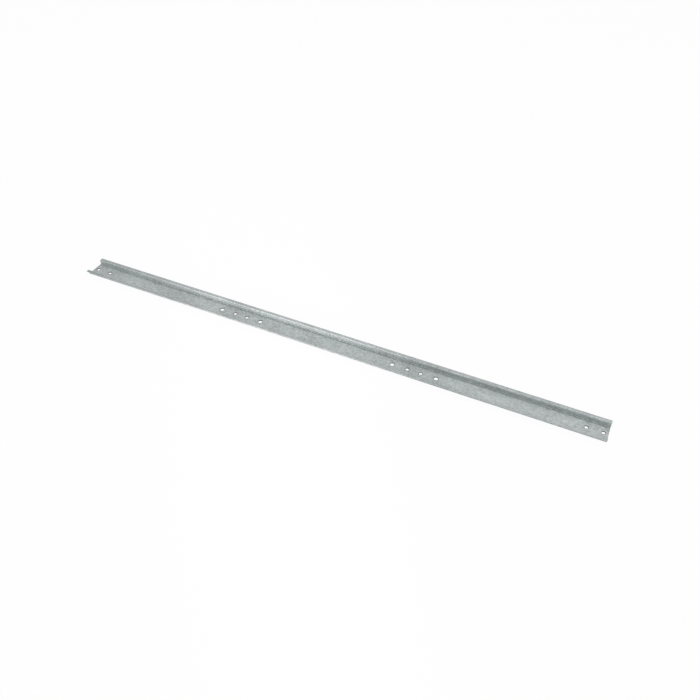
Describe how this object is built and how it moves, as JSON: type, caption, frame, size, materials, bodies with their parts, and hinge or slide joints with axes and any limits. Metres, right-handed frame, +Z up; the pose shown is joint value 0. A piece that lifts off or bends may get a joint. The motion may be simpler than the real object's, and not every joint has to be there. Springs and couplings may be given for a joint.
{
  "type": "din rail",
  "caption": "Straight top-hat mounting rail of galvanised steel, with turned-out lips that devices clip onto and round screw holes along its web.",
  "frame": {"origin": "middle of the rail's length and width, on the underside of the web", "axes": "+X along the rail, +Y across it, +Z up out of the open side of the channel"},
  "size_m": [0.735, 0.035, 0.0075],
  "materials": {
    "galvanised_steel": "satin zinc coating, lightly mottled"
  },
  "bodies": {
    "root": {"rail": "galvanised_steel"}
  },
  "joints": []
}
